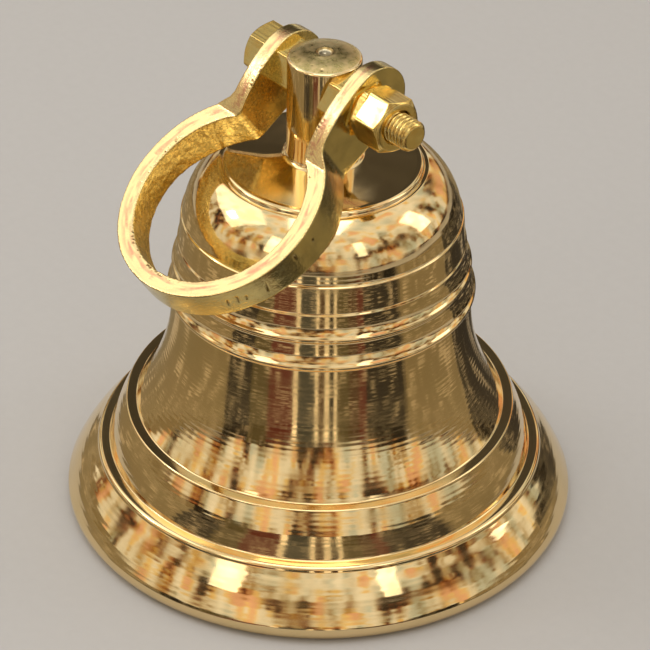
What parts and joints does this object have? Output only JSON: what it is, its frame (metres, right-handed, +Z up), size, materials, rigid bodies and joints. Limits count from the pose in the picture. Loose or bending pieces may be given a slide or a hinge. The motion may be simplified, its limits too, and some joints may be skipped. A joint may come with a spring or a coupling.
{
  "type": "temple bell",
  "caption": "Turned brass bell with stepped collar and lip, a solid stem with a swinging omega shackle on a nutted cross bolt, and a ball clapper hung inside on a link.",
  "frame": {"origin": "centre of the mouth, in the plane that the lip stands on", "axes": "+Z up along the bell's axis to the stem; +X along the cross bolt towards its nuts; at rest the shackle lies swung down towards -Y"},
  "size_m": [0.1314, 0.1314, 0.1324],
  "materials": {
    "bell_brass": "mirror polished on the lathe, with fine turning marks",
    "shackle_brass": "casting, filed flat on its edges, rough inside the loop",
    "fastener_brass": "bright, with turned faces",
    "clapper_brass": "satin, lightly tarnished",
    "hanger_steel": "dull drawn wire"
  },
  "bodies": {
    "bell": {"bell_body": "bell_brass", "crown_eye": "hanger_steel", "eye_nut": "hanger_steel"},
    "bolt": {"shackle_bolt": "fastener_brass", "jam_nut": "fastener_brass", "lock_nut": "fastener_brass"},
    "shackle": {"shackle": "shackle_brass"},
    "link": {"hanger_link": "hanger_steel"},
    "clapper": {"clapper_rod": "clapper_brass", "clapper_ball": "clapper_brass", "clapper_nut": "clapper_brass"}
  },
  "joints": [
    {"name": "shackle_swing", "type": "hinge", "parent": "bell", "child": "shackle", "pos_m": [0, 0, 0.1221], "axis": [-1, 0, 0], "range_deg": [0, 262]},
    {"name": "bolt_spin", "type": "hinge", "parent": "bell", "child": "bolt", "pos_m": [0, 0, 0.1221], "axis": [1, 0, 0], "continuous": true},
    {"name": "link_swing", "type": "hinge", "parent": "bell", "child": "link", "pos_m": [0, 0, 0.08], "axis": [1, 0, 0], "range_deg": [-29, 29]},
    {"name": "clapper_sway", "type": "hinge", "parent": "link", "child": "clapper", "pos_m": [0, 0, 0.066], "axis": [0, 1, 0], "range_deg": [-10, 10]}
  ]
}
